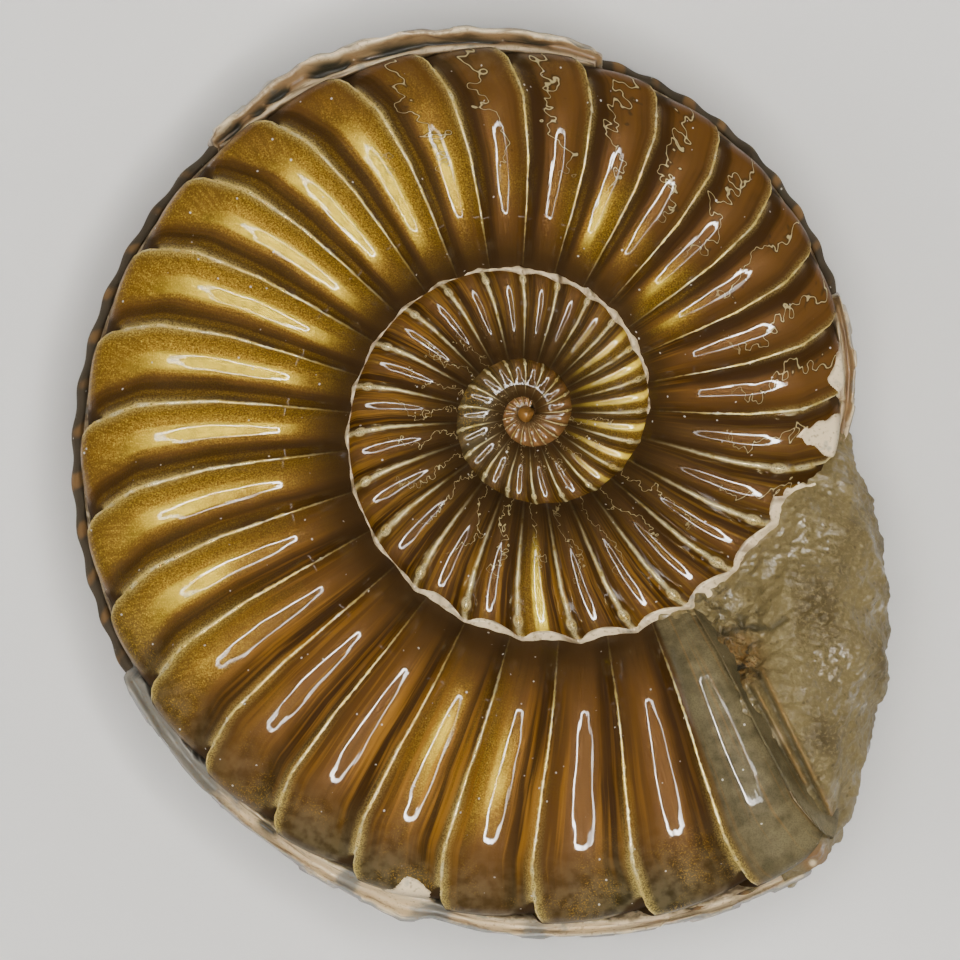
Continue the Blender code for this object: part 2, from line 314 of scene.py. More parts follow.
def mesh_object(name, points_mm, faces, attributes, material, cad_node):
    """A smooth mesh piece that stands for a CAD node."""
    data = bpy.data.meshes.new(name)
    data.from_pydata(placed(points_mm).tolist(), [], faces)
    for label, values in attributes.items():
        layer = data.attributes.new(label, "FLOAT", "POINT")
        layer.data.foreach_set("value", np.asarray(values, np.float32).ravel())
    data.validate()
    data.shade_smooth()
    data.materials.append(material)
    obj = bpy.data.objects.new(name, data)
    bpy.context.scene.collection.objects.link(obj)
    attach(obj, "root")
    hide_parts(cad_node)
    return obj


def rib_columns(first, last, per_rib):
    """Rib numbers of the columns, closer together at the crests."""
    steps = np.arange(per_rib) / per_rib
    steps = steps - 0.75 * np.sin(2.0 * np.pi * steps) / (2.0 * np.pi)
    columns = (np.arange(first, last)[:, None] + steps[None, :]).ravel()
    return np.append(columns[columns < last - 0.01], last)


def spots(angle, place, entries):
    """How strongly some colour shows, from 0 to 1, where it is given as soft round spots."""
    around = angle - LAST_TURN
    total = np.zeros(np.broadcast(around, place).shape)
    for at, high, wide, tall, strength in entries:
        total += strength * np.exp(-((around - at) / wide) ** 2 - ((place - high) / tall) ** 2)
    return np.clip(total, 0.0, 1.0)


def coil_mesh(name, first_rib, last_rib, per_rib, upper_rows, lower_rows, material):
    """One stretch of the coil, upper and lower flank and keel, as one tube."""
    ribs = rib_columns(first_rib, last_rib, per_rib)
    turns = rib_turns(ribs)
    upper = outline_rows(upper_rows)
    lower = outline_rows(lower_rows)[:, ::-1]
    rows = np.concatenate([upper, lower], axis=1)
    side = np.concatenate([np.ones(upper_rows), -np.ones(lower_rows)])
    angle, radius, z = shell_point(ribs[:, None], turns[:, None], rows[:, None, :])
    place = np.broadcast_to(rows[0], z.shape)
    cords = np.cos(2.0 * np.pi * (2.0 * ribs[:, None] + 6.0 * (place - 1.0))) * (angle > LAST_TURN)
    keel = smooth_steps(place, 0.952, 0.966)
    radius = radius + 0.07 * keel * cords
    z = (z + 0.16 * keel * cords * smooth_steps(1.0 - place, 0.0, 0.01)) * side
    around = np.radians(angle)
    points = np.stack([radius * np.cos(around), radius * np.sin(around), z], axis=-1)
    attributes = {
        "rib": np.broadcast_to(ribs[:, None], z.shape),
        "place": place,
        "turn": (angle - LAST_TURN) / 360.0,
        "gold": spots(angle, place, GOLD_SPOTS),
        "amber": spots(angle, place, AMBER_SPOTS),
        "olive": spots(angle, place, OLIVE_SPOTS),
    }
    return mesh_object(name, points.reshape(-1, 3), tube_faces(*z.shape), attributes, material,
                       "ammonite")


def skin_mesh(name, rib_range, place_range, counts, edge, lift, level, material):
    """A thin layer on the coil, which dips below it wherever the layer ends.

    edge, lift and level are functions: how far, in mm, each point is inside the layer, how
    thick the layer is and the height in mm that it fills hollows up to.
    """
    ribs = np.linspace(*rib_range, counts[0])
    turns = rib_turns(ribs)
    fine = outline_rows(800)
    chosen = np.linspace(*place_range, counts[1])
    upper = np.array([np.interp(chosen, fine[0], column) for column in fine])
    rows, side = upper, np.ones(counts[1])
    if place_range[1] >= 1.0:
        lower = upper[:, ::-1][:, 1:counts[1] // 3]
        rows = np.concatenate([upper, lower], axis=1)
        side = np.concatenate([side, -np.ones(lower.shape[1])])
    angle, radius, z = shell_point(ribs[:, None], turns[:, None], rows[:, None, :])
    place = np.broadcast_to(rows[0], z.shape)
    inside = edge(ribs[:, None], angle, radius, place, side)
    covered = smooth_steps(inside, -0.08, 0.14)
    way = np.radians(np.interp(place, (0.6, 0.8, 0.9, 0.96, 1.0), (5, 20, 40, 50, 90)))
    across = np.clip((place - 0.925) / 0.075, 0.0, 1.0)
    flakes = flaked(angle, across, side)
    thick = (lift(angle, across) + LAYER_DIP_MM - FLAKE_MM * flakes) * covered - LAYER_DIP_MM
    radius = radius + thick * np.sin(way)
    filled = np.maximum(z, level(angle, across) * covered)
    z = (np.where(place < 0.999, filled, z) + thick * np.cos(way)) * side
    around = np.radians(angle)
    points = np.stack([radius * np.cos(around), radius * np.sin(around), z], axis=-1)
    attributes = {
        "along": np.broadcast_to(turns[:, None] / 360.0, z.shape),
        "across": across,
        "hollow": cavities(angle, across),
        "flaked": flakes,
        "inside": np.clip(inside, 0.0, 1.0),
        "grey": spots(angle, place, GREY_SPOTS),
    }
    return mesh_object(name, points.reshape(-1, 3), grid_faces(*z.shape), attributes, material,
                       "ammonite")


def cavities(angle, across):
    """1 in the cavities of the shell that is left on the rim, 0 outside them."""
    around = angle - LAST_TURN
    deepest = np.zeros(np.broadcast(around, across).shape)
    for at, high, long, wide in CAVITIES:
        away = np.hypot((around - at) / long, (across - high) / wide)
        deepest = np.maximum(deepest, 1.0 - smooth_steps(away, 0.75, 1.1))
    return deepest


def flaked(angle, across, side):
    """1 where the outer layer of the shell on the rim has come off."""
    points = np.stack([(angle - LAST_TURN) / 6.0, (1.0 - across) * side * 2.5, across * 0.0], axis=-1)
    lumps = wave_noise(points.reshape(-1, 3), 1.7, 6).reshape(across.shape)
    return smooth_steps(lumps, 0.30, 0.42) * smooth_steps(across, 0.55, 0.85)


def rim_value(around, column):
    """The value of one column of RIM_SHELL at these angles."""
    rows = np.array(RIM_SHELL)
    return np.interp(around, rows[:, 0], rows[:, column])


def rim_edge(rib, angle, radius, place, side):
    """How far a point is outside the inner edge of the shell on the rim, in mm."""
    around = angle - LAST_TURN + 0.3 * np.sin(place * 110.0)
    inner = rim_value(around, 1)
    ragged = 0.004 * np.sin(around * 0.9) + 0.002 * np.sin(around * 2.7 + 1.0)
    under = (side < 0.0) * (0.012 + 0.018 * np.sin(around * 0.37) + 0.007 * np.sin(around * 1.1))
    return (place - inner - ragged - under) * (keel_mm(angle) - seam_mm(angle))


def rim_lift(angle, across):
    """The thickness of the shell on the rim, in mm."""
    around = angle - LAST_TURN
    out = rim_value(around, 2)
    ripple = 1.0 + 0.10 * np.sin(around * 0.31) + 0.07 * np.sin(around * 0.83 + 1.0)
    ripple = ripple + 0.04 * np.sin(around * 1.9) * np.sin(around * 0.17)
    return 0.10 + out * ripple * smooth_steps(across, 0.15, 1.0) - 0.3 * cavities(angle, across) * out


def rim_level(angle, across):
    """The height in mm that the shell on the rim fills hollows up to."""
    lips = 1.0 - 0.38 * np.exp(-((across - 0.60) / 0.14) ** 2) - 0.15 * cavities(angle, across)
    return rim_value(angle - LAST_TURN, 3) * lips * (1.0 - smooth_steps(across, 0.9, 1.0))


def seam_edge(rib, angle, radius, place, side):
    """How far a point is outside the inner edge of the shell left along the seam, in mm."""
    around = np.mod(angle, 360.0)
    step = rib - np.floor(rib)
    lens = np.sin(np.pi * np.clip((step - 0.08) / 0.84, 0.0, 1.0)) ** 0.8
    upper = smooth_steps(around, 15.0, 30.0) * (1.0 - smooth_steps(around, 92.0, 112.0))
    lower = smooth_steps(around, 228.0, 245.0)
    wide = 0.035 + upper * (0.255 - 0.14 * lens) + lower * (-0.045 + 0.42 * lens)
    wide = np.where(angle > LAST_TURN - 360.0, wide, -0.10)
    return radius - seam_mm(angle + 360.0) + wide


def seam_lift(angle, across):
    """The thickness of the shell along the seam, in mm."""
    return 0.11 + 0.03 * np.sin(angle * 1.3)


def seam_level(angle, across):
    """The shell along the seam fills nothing up."""
    return 0.0


class Nodes:
    """Short names for the shader nodes of one material."""

    def __init__(self, name):
        self.material = bpy.data.materials.new(name)
        self.material.use_nodes = True
        self.tree = self.material.node_tree
        self.shader = self.tree.nodes["Principled BSDF"]

    def link(self, value, socket):
        if isinstance(value, bpy.types.NodeSocket):
            self.tree.links.new(value, socket)
        else:
            socket.default_value = value

    def math(self, operation, first, second=0.0):
        node = self.tree.nodes.new("ShaderNodeMath")
        node.operation = operation
        self.link(first, node.inputs[0])
        self.link(second, node.inputs[1])
        return node.outputs[0]

    def times(self, first, *others):
        for other in others:
            first = self.math("MULTIPLY", first, other)
        return first

    def plus(self, first, *others):
        for other in others:
            first = self.math("ADD", first, other)
        return first

    def minus(self, first, second):
        return self.math("SUBTRACT", first, second)

    def most(self, first, *others):
        for other in others:
            first = self.math("MAXIMUM", first, other)
        return first

    def one_minus(self, value):
        return self.math("SUBTRACT", 1.0, value)

    def feed(self, **values):
        """Sets or links the shader's own sockets, with _ for a space in their names."""
        for name, value in values.items():
            self.link(value, self.shader.inputs[name.replace("_", " ")])

    def value(self, attribute):
        node = self.tree.nodes.new("ShaderNodeAttribute")
        node.attribute_name = attribute
        return node.outputs["Fac"]

    def point(self):
        return self.tree.nodes.new("ShaderNodeTexCoord").outputs["Object"]

    def vector(self, x, y, z=0.0):
        node = self.tree.nodes.new("ShaderNodeCombineXYZ")
        for value, socket in zip((x, y, z), node.inputs):
            self.link(value, socket)
        return node.outputs[0]

    def length(self, vector):
        node = self.tree.nodes.new("ShaderNodeVectorMath")
        node.operation = "LENGTH"
        self.link(vector, node.inputs[0])
        return node.outputs["Value"]

    def noise(self, vector, scale, detail=2.0, roughness=0.5, distortion=0.0):
        node = self.tree.nodes.new("ShaderNodeTexNoise")
        self.link(vector, node.inputs["Vector"])
        node.inputs["Scale"].default_value = scale
        node.inputs["Detail"].default_value = detail
        node.inputs["Roughness"].default_value = roughness
        node.inputs["Distortion"].default_value = distortion
        return node.outputs["Fac"]

    def cells(self, vector, scale):
        node = self.tree.nodes.new("ShaderNodeTexVoronoi")
        self.link(vector, node.inputs["Vector"])
        node.inputs["Scale"].default_value = scale
        return node.outputs["Distance"]

    def between(self, value, low, high, start=0.0, end=1.0):
        """value taken from the range low to high to the range start to end, smoothly."""
        node = self.tree.nodes.new("ShaderNodeMapRange")
        node.interpolation_type = "SMOOTHSTEP"
        for entry, socket in zip((value, low, high, start, end), node.inputs):
            self.link(entry, socket)
        return node.outputs[0]

    def curve(self, value, places, heights):
        """A curve through places from 0 to 1."""
        node = self.tree.nodes.new("ShaderNodeValToRGB")
        ramp = node.color_ramp
        ramp.interpolation = "EASE"
        while len(ramp.elements) < len(places):
            ramp.elements.new(0.5)
        for element, place, height in zip(ramp.elements, places, heights):
            element.position = place
            element.color = (height, height, height, 1.0)
        self.link(value, node.inputs[0])
        return node.outputs[0]

    def mix(self, share, first, second):
        node = self.tree.nodes.new("ShaderNodeMix")
        node.data_type = "RGBA"
        self.link(share, node.inputs[0])
        self.link(first, node.inputs[6])
        self.link(second, node.inputs[7])
        return node.outputs[2]

    def over(self, tone, *coats):
        """A colour with others laid over it one by one, each by its share."""
        for share, coat in coats:
            tone = self.mix(share, tone, coat)
        return tone

    def bump(self, height, strength, distance, normal=None):
        node = self.tree.nodes.new("ShaderNodeBump")
        self.link(height, node.inputs["Height"])
        node.inputs["Strength"].default_value = strength
        node.inputs["Distance"].default_value = distance
        if normal is not None:
            self.link(normal, node.inputs["Normal"])
        return node.outputs[0]


def colour(red, green, blue):
    """A colour given as it looks on a screen, from 0 to 255."""
    channels = []
    for value in (red, green, blue):
        share = value / 255.0
        channels.append(share / 12.92 if share < 0.04045 else ((share + 0.055) / 1.055) ** 2.4)
    return (*channels, 1.0)


# Pale gold: the colour of bright grains, and of the painted highlights in the hollows.
PALE_GOLD = (0.92, 0.66, 0.05, 1.0)
GOLD = (0.46, 0.27, 0.025, 1.0)
DARK_GOLD = (0.20, 0.105, 0.011, 1.0)
BROWN = (0.115, 0.050, 0.009, 1.0)
# The dark brown of the painted shade on the ribs' back slopes.
SHADE_BROWN = (0.046, 0.020, 0.004, 1.0)
AMBER = (0.34, 0.15, 0.016, 1.0)
# Golds of the painted highlights on and beside the crests.
CREST_HIGHLIGHT = (0.84, 0.62, 0.17, 1.0)
PALE_CREST_HIGHLIGHT = (0.95, 0.80, 0.40, 1.0)
ROSE = (0.27, 0.13, 0.045, 1.0)
# Near-black brown: painted shade with some dirt along the seam and between the rim's lobes, and the
# sutures' dark border.
SHADE_AND_GRIME = (0.043, 0.023, 0.008, 1.0)
KEEL = (0.075, 0.058, 0.038, 1.0)
RUST = (0.22, 0.125, 0.05, 1.0)
OLIVE = (0.12, 0.095, 0.045, 1.0)
GREY_OLIVE = colour(110, 100, 72)
DARK_OLIVE = colour(52, 46, 26)
SILVER = (0.44, 0.35, 0.16, 1.0)
DUST = colour(205, 198, 184)
CREAM = colour(232, 210, 168)
TAN = colour(142, 112, 74)
UMBER = colour(94, 70, 42)
SHELL_GREY = colour(120, 121, 117)
# Dark olive: the shell's cavities, and painted shade in the stone's creases and crevices.
CAVITY = colour(48, 46, 34)
STONE = colour(112, 98, 62)
STONE_PALE = colour(146, 130, 90)
STONE_DARK = colour(74, 62, 34)
STONE_GOLD = colour(112, 80, 34)
STONE_RIDGE = colour(134, 106, 60)


class CoilNodes(Nodes):
    """The coil's shader nodes, with the values that most of its parts start from."""

    def __init__(self, name):
        super().__init__(name)
        self.rib, self.place, self.turn = self.value("rib"), self.value("place"), self.value("turn")
        self.at = self.point()
        self.grain = self.noise(self.at, 12000.0, 3.0, 0.6)
        self.lumps = self.noise(self.at, 1500.0, 3.0)
        self.patches = self.minus(self.noise(self.at, 420.0, 3.0), 0.5)
        self.streaks = self.noise(self.vector(self.times(self.rib, 14.0), self.times(self.place, 1.6),
                                              self.turn), 1.0, 3.0)
        self.gold = self.plus(self.value("gold"), self.times(self.patches, 0.5))
        self.olive = self.value("olive")
        self.inner = self.between(self.turn, -0.03, 0.01, 1.0, 0.0)
        self.step = self.math("FRACT", self.rib)
        self.from_crest = self.math("MINIMUM", self.step, self.one_minus(self.step))


def dark_pyrite(make):
    """Brown between the crests with painted shade darkest on the back slope before each crest, streaked
    with gold on the inner whorls, rosy on the first ones.
    """
    # Painted shade: dark brown on each rib's back slope, half as dark at the crest, made uneven by patches
    # and streaks.
    shade = make.curve(make.step, (0.0, 0.10, 0.34, 0.58, 0.80, 1.0), (0.5, 0.35, 0.0, 0.1, 1.0, 0.9))
    shade = make.plus(shade, make.times(make.inner, 0.4), make.times(make.patches, 0.9),
                      make.times(make.minus(make.streaks, 0.5), 1.2))
    golden = make.times(make.inner, make.between(make.streaks, 0.44, 0.72, 0.0, 0.65))
    return make.over(BROWN, (make.between(shade, 0.0, 1.0), SHADE_BROWN), (golden, DARK_GOLD),
                     (make.between(make.turn, -1.8, -2.2, 0.0, 0.6), ROSE))


def golden_sand(make):
    """Coarse golden grains, scratched dark towards the rim."""
    slanted = make.plus(make.times(make.rib, 26.0), make.times(make.place, 70.0))
    scratches = make.noise(make.vector(slanted, make.times(make.place, 9.0)), 1.0, 3.0)
    rough_end = make.times(make.between(make.place, 0.45, 0.85), scratches)
    return make.over(DARK_GOLD, (make.between(make.grain, 0.38, 0.60), GOLD),
                     (make.between(rough_end, 0.38, 0.60, 0.0, 0.7), DARK_GOLD),
                     (make.between(make.grain, 0.60, 0.70, 0.0, 0.7), PALE_GOLD))


def flank_metal(make):
    """The flank's colour without the crests' painted highlights and the seam's and rim's painted shade and
    dirt, with a pale gold band painted as a highlight down the middle of each hollow; and how sandy it is
    and how strongly that painted highlight shows.
    """
    wavy = make.plus(make.step, make.times(make.minus(make.streaks, 0.5), 0.16))
    front = make.curve(wavy, (0.0, 0.04, 0.50, 0.68, 0.78, 0.86, 0.95),
                       (0.5, 1.0, 1.0, 0.08, 0.05, 0.35, 0.05))
    sandy = make.times(front, make.between(make.gold, 0.05, 0.85),
                       make.one_minus(make.times(make.inner, 0.55)))
    # Painted highlight: a pale gold band down the middle of each hollow, where the lights shine back.
    middle = make.curve(wavy, (0.27, 0.37, 0.50, 0.58), (0.0, 1.0, 1.0, 0.0))
    pale = make.times(middle, make.between(make.gold, 0.40, 0.9), make.between(make.place, 0.88, 0.62))
    # Painted highlight: pale gold rods down the hollows of the inner whorls.
    rod_highlight = make.curve(make.step, (0.33, 0.42, 0.52, 0.60), (0.0, 1.0, 1.0, 0.0))
    rod_highlight = make.times(rod_highlight, make.inner, make.between(make.gold, 0.15, 0.6),
                     make.between(make.place, 0.86, 0.78, 0.0, 0.85))
    amber = make.times(make.value("amber"), make.between(make.streaks, 0.42, 0.66),
                       make.one_minus(middle))
    grains = make.times(make.between(make.grain, 0.52, 0.64, 0.0, 0.7),
                        make.between(make.patches, -0.05, 0.12))
    mottled = make.over(DARK_OLIVE, (make.between(make.lumps, 0.30, 0.66), OLIVE), (grains, GOLD))
    metal = make.over(dark_pyrite(make), (sandy, golden_sand(make)),
                      (make.times(pale, make.between(make.lumps, 0.3, 0.6, 0.6, 0.95)), PALE_GOLD),
                      (rod_highlight, PALE_GOLD), (amber, AMBER), (make.olive, mottled))
    return metal, sandy, pale


def painted_crest_sheen(make):
    """A painted sheen: where gold shines beside the crests, mostly near the rim."""
    golden = make.most(make.gold, make.olive)
    return make.times(make.between(make.from_crest, 0.12, 0.0, 0.0, 0.65),
                      make.between(make.place, 0.35, 0.75),
                      make.between(golden, 0.0, 0.6, 0.35, 1.0),
                      make.between(make.grain, 0.40, 0.60, 0.25, 1.0),
                      make.between(make.place, 0.93, 0.88))


def painted_crest_highlights(make):
    """Painted highlights: thin broken lines on the crests, and spots on the knobs of the inner whorls."""
    ragged = make.times(make.minus(make.noise(make.at, 3000.0, 2.0), 0.5), 0.06)
    width = make.plus(make.between(make.gold, 0.0, 0.6, 0.026, 0.038), make.times(make.inner, 0.045))
    line = make.between(make.plus(make.from_crest, ragged), 0.0, width, 1.0, 0.0)
    line = make.times(line, make.between(make.lumps, 0.30, 0.42, 0.35, 1.0),
                      make.between(make.place, 0.93, 0.88),
                      make.between(make.place, 0.10, 0.40, 0.25, 1.0))
    knob = make.vector(make.math("DIVIDE", make.minus(make.place, KNOB_PLACE), 0.045),
                       make.math("DIVIDE", make.from_crest, KNOB_LENGTH))
    knob = make.times(make.between(make.length(knob), 0.6, 1.0, 1.0, 0.0), make.inner)
    return make.most(line, knob)


def shade_and_dirt(make):
    """Where it is made dark: painted shade with some dirt along the seam, and painted shade in the gaps
    between the lobes of the rim.
    """
    seam_width = make.between(make.turn, -0.02, 0.02, 0.62, 0.24)
    # Painted shade with some dirt: the umbilical wall along the seam made dark, reaching further across on
    # the inner whorls.
    seam = make.between(make.place, 0.02, seam_width, 0.88, 0.0)
    # Painted shade in the gaps between the rim's lobes, reaching further in behind each crest so that the
    # lobes look rounded.
    corner_shade = make.curve(make.step, (0.0, 0.14, 0.62, 0.84, 1.0), (0.25, 0.0, 0.0, 0.5, 1.0))
    rounded = make.plus(make.place, make.times(corner_shade, 0.065))
    furrow_shade = make.times(make.between(rounded, 0.915, 0.934), make.between(make.place, 0.962, 0.950))
    return make.most(seam, furrow_shade)


def corded_keel(make):
    """The keel's colour, rusty where its cords stand out."""
    cords = make.times(make.plus(make.rib, make.times(make.place, 3.0)), 4.0 * math.pi)
    worn = make.plus(make.math("COSINE", cords), make.times(make.patches, 3.0))
    return make.mix(make.between(worn, 0.5, 1.3), KEEL, RUST)


def suture_lines(make):
    """Frilled lines where the chamber walls met the shell: the line and its dark border."""
    flat = make.vector(make.rib, make.times(make.place, 5.0))
    frill = make.minus(make.noise(flat, 4.2, 1.0, 0.6), 0.5)
    wander = make.minus(make.noise(flat, 1.1, 1.0), 0.5)
    lobes = make.math("SINE", make.times(make.place, 15.0))
    line = make.plus(make.rib, make.times(lobes, 0.16), make.times(frill, 0.85),
                     make.times(wander, 0.7))
    away = make.math("ABSOLUTE", make.minus(make.math("FRACT", line), 0.5))
    outer = make.times(make.between(make.turn, 0.30, 0.35, 1.0, 0.0),
                       make.between(make.turn, -0.08, -0.06), make.between(make.place, 0.38, 0.55))
    around = make.math("FRACT", make.plus(make.turn, 4.0))
    inner = make.times(make.curve(around, (0.3, 0.4, 0.7, 0.78, 0.95), (0.0, 1.0, 1.0, 0.5, 0.9)),
                       make.between(make.turn, -0.06, -0.08), make.between(make.place, 0.55, 0.4))
    shown = make.times(make.most(outer, inner), make.between(make.place, 0.94, 0.91))
    thin = make.times(make.between(away, 0.006, 0.022, 1.0, 0.0), shown)
    wide = make.times(make.between(away, 0.02, 0.08, 0.7, 0.0), shown)
    return thin, wide


def mouth_stone(make):
    """The grey-olive stone that shows instead of pyrite behind the last crest."""
    uneven = make.between(make.plus(make.lumps, make.patches), 0.25, 0.70, 0.55, 0.0)
    return make.over(GREY_OLIVE, (uneven, DARK_OLIVE),
                     (make.between(make.grain, 0.45, 0.62, 0.0, 0.3), DARK_OLIVE),
                     (make.between(make.streaks, 0.52, 0.68, 0.0, 0.16), AMBER))


def lacquer(make, sandy, dull):
    """A clear coat, uneven, weaker on sand and missing where shade and dirt are painted and on the lobes'
    steep backs.
    """
    steep = make.times(make.between(make.step, 0.62, 0.78), make.between(make.place, 0.70, 0.80))
    uneven = make.noise(make.vector(make.times(make.rib, 9.0), make.times(make.place, 5.0)), 1.0, 1.0)
    coat = make.times(make.one_minus(make.most(dull, steep)),
                      make.between(make.place, 0.925, 0.86, 0.1, 1.0),
                      make.one_minus(make.times(sandy, 0.3)),
                      make.between(make.rib, 24.46, 24.54, 1.0, 0.15),
                      make.between(uneven, 0.36, 0.52, 0.3, 1.0))
    ripples = make.times(uneven, make.one_minus(make.times(make.inner, 0.7)))
    make.feed(Coat_Weight=coat, Coat_Roughness=0.04, Coat_IOR=1.55,
              Coat_Normal=make.bump(ripples, 1.0, 0.000014))


def fine_relief(make):
    """The bump of sand, streaks and the small beads on the crests."""
    sand = make.times(make.grain, make.times(make.plus(make.value("gold"), 0.15), 0.8))
    beads = make.math("SINE", make.times(make.plus(make.place, make.rib), 240.0))
    beads = make.times(beads, make.times(make.between(make.from_crest, 0.05, 0.0),
                                         make.between(make.place, 0.5, 0.85, 0.0, 0.25)))
    return make.bump(make.plus(sand, make.times(make.streaks, 0.4), beads), 1.0, 0.00006)


def pyrite():
    """Lacquered pyrite: golden and sandy in front of each rib, polished behind it, with painted shade
    behind the crests, along the seam and between the rim's lobes, and painted highlights on the crests and
    down the hollows.
    """
    make = CoilNodes("pyrite")
    metal, sandy, pale = flank_metal(make)
    crest, shade_and_grime = painted_crest_highlights(make), shade_and_dirt(make)
    keel = make.between(make.place, 0.948, 0.956)
    line, border = suture_lines(make)
    last_rib = make.between(make.rib, 24.03, 24.14)
    dust = make.times(make.between(make.cells(make.at, 1700.0), 0.13, 0.07),
                      make.between(make.noise(make.at, 1500.0, 0.0), 0.60, 0.66))
    whitish = make.between(make.plus(make.lumps, make.times(make.inner, 0.12)), 0.45, 0.62)
    # Painted highlights: a gold sheen beside the crests, pale lines along them and spots on the knobs.
    skin = make.over(metal, (painted_crest_sheen(make), CREST_HIGHLIGHT), (crest, make.mix(whitish, CREST_HIGHLIGHT, PALE_CREST_HIGHLIGHT)),
                     (keel, corded_keel(make)), (shade_and_grime, SHADE_AND_GRIME), (border, SHADE_AND_GRIME), (line, SILVER),
                     (last_rib, mouth_stone(make)), (dust, DUST))
    plain = make.most(dust, shade_and_grime, keel, last_rib, make.times(pale, 0.15))
    metallic = make.plus(make.times(sandy, 0.50), make.times(crest, 0.4), 0.20)
    dull = make.most(shade_and_grime, keel)
    rough = make.plus(make.times(crest, -0.14), 0.42, make.times(dull, 0.4),
                      make.times(make.minus(make.grain, 0.5), 0.2))
    make.feed(Base_Color=skin, Roughness=rough, Specular_IOR_Level=0.08,
              Metallic=make.times(metallic, make.one_minus(plain)), Normal=fine_relief(make))
    lacquer(make, sandy, dull)
    return make.material


def shell_crust():
    """Pale layered shell, with tan and grey patches and grey-green cavities, and painted shade along its
    inner edge.
    """
    make = Nodes("shell crust")
    point = make.point()
    along, across, hollow = make.value("along"), make.value("across"), make.value("hollow")
    drift = make.minus(make.noise(make.vector(make.times(along, 30.0), 0.0), 1.0, 3.0), 0.5)
    band = make.plus(across, make.times(drift, 0.3))
    layers = make.noise(make.vector(make.times(along, 60.0), make.times(across, 9.0)), 1.0, 4.0)
    blotches = make.noise(point, 700.0, 4.0)
    fine = make.noise(point, 5000.0, 3.0)
    edges = make.curve(band, (0.0, 0.30, 0.42, 0.52, 0.74, 0.84), (1.0, 0.7, 0.1, 1.0, 0.9, 0.0))
    layered = make.times(edges, make.between(across, 0.0, 0.02),
                         make.between(along, *BOTTOM_RIM_TURNS, 1.0, 0.25))
    flaked_share = make.times(make.value("flaked"), make.between(fine, 0.3, 0.6, 0.3, 0.8))
    # Painted shade: umber along the layer's inner edge, broken up by noise.
    border = make.times(make.between(make.value("inside"), 0.04, 0.2, 0.8, 0.0),
                        make.between(make.noise(point, 1800.0, 2.0), 0.35, 0.6))
    grey = make.plus(make.value("grey"), blotches)
    outer = make.times(make.between(across, 0.78, 0.90), make.between(along, *BOTTOM_RIM_TURNS),
                       make.between(blotches, 0.36, 0.52, 0.2, 0.9))
    tone = make.over(CREAM, (layered, TAN), (flaked_share, TAN), (border, UMBER),
                     (make.between(layers, 0.52, 0.66, 0.0, 0.8), UMBER),
                     (make.between(grey, 0.85, 1.15, 0.0, 0.85), SHELL_GREY),
                     (make.between(blotches, 0.60, 0.68, 0.0, 0.6), SHELL_GREY),
                     (outer, SHELL_GREY),
                     (make.between(fine, 0.56, 0.70, 0.0, 0.6), TAN),
                     (make.times(hollow, make.between(layers, 0.35, 0.5, 0.55, 1.0)), CAVITY))
    normal = make.bump(fine, 0.4, 0.00004, make.bump(layers, 0.5, 0.00010))
    make.feed(Base_Color=tone, Roughness=make.between(blotches, 0.3, 0.7, 0.3, 0.6), Normal=normal,
              Coat_Weight=0.5, Coat_Roughness=0.12)
    return make.material


def first_chamber(material):
    """The bead in the middle of the coil."""
    count = 40
    over = np.linspace(0.02, np.pi - 0.02, count)[:, None]
    around = np.linspace(0.0, 2.0 * np.pi, count, endpoint=False)[None, :]
    radius = 0.45 * np.sin(over) * (1.0 + 0.06 * np.sin(3.0 * around))
    points = np.stack([radius * np.cos(around), radius * np.sin(around),
                       0.62 * np.cos(over) + 0.0 * around], axis=-1).reshape(-1, 3)
    faces = tube_faces(count, count, flip=True, ends=False)
    level = {label: np.full(len(points), value) for label, value in FIRST_CHAMBER.items()}
    return mesh_object("first_chamber", points, faces, level, material, "ammonite")


def matrix_stone():
    """Hard sandy mud, lacquered, with a rough golden patch and two thin golden ridges; painted shade lies
    in its creases and in the crevices of its broken part, with painted highlights on that part's tops.
    """
    make = Nodes("matrix stone")
    point = make.point()
    broad = make.noise(point, 260.0, 4.0)
    fine = make.noise(point, 5200.0, 3.0, 0.6)
    pits = make.cells(point, 1900.0)
    rugged = make.noise(point, 1500.0, 3.0, 0.6, 0.6)
    broken = make.value("broken")
    worn = make.between(make.noise(point, 1200.0, 2.0), 0.35, 0.55, 0.25, 1.0)
    tone = make.over(STONE_DARK, (make.between(broad, 0.22, 0.50), STONE),
                     (make.between(fine, 0.46, 0.72, 0.0, 0.5), STONE_PALE),
                     (make.between(pits, 0.24, 0.08, 0.0, 0.6), STONE_DARK),
                     (make.times(make.value("brown"), make.between(fine, 0.4, 0.6, 0.5, 1.0)), STONE_GOLD),
                     # Painted shade in the broken part's crevices, and a painted highlight on its tops.
                     (make.times(broken, make.between(rugged, 0.50, 0.36)), CAVITY),
                     (make.times(broken, make.between(rugged, 0.56, 0.68, 0.0, 0.6)), STONE_PALE),
                     (make.times(make.value("ridge"), worn), STONE_RIDGE),
                     # Painted shade along the creases.
                     (make.value("shaded_crease"), CAVITY), (make.value("rust"), RUST),
                     (make.value("pale"), CREAM))
    wet = make.plus(make.noise(point, 520.0, 3.0), make.times(make.value("wet"), 0.22))
    swells = make.noise(point, 2200.0, 2.0)
    normal = make.bump(make.times(rugged, broken), 1.0, 0.0007)
    normal = make.bump(swells, 0.9, 0.00016, normal)
    normal = make.bump(fine, 0.5, 0.00005, normal)
    make.feed(Base_Color=tone, Roughness=make.between(wet, 0.52, 0.66, 0.62, 0.34), Normal=normal,
              Specular_IOR_Level=0.25, Coat_Weight=make.between(wet, 0.52, 0.66, 0.15, 1.0),
              Coat_Roughness=0.05, Coat_Normal=make.bump(swells, 1.0, 0.00026))
    return make.material


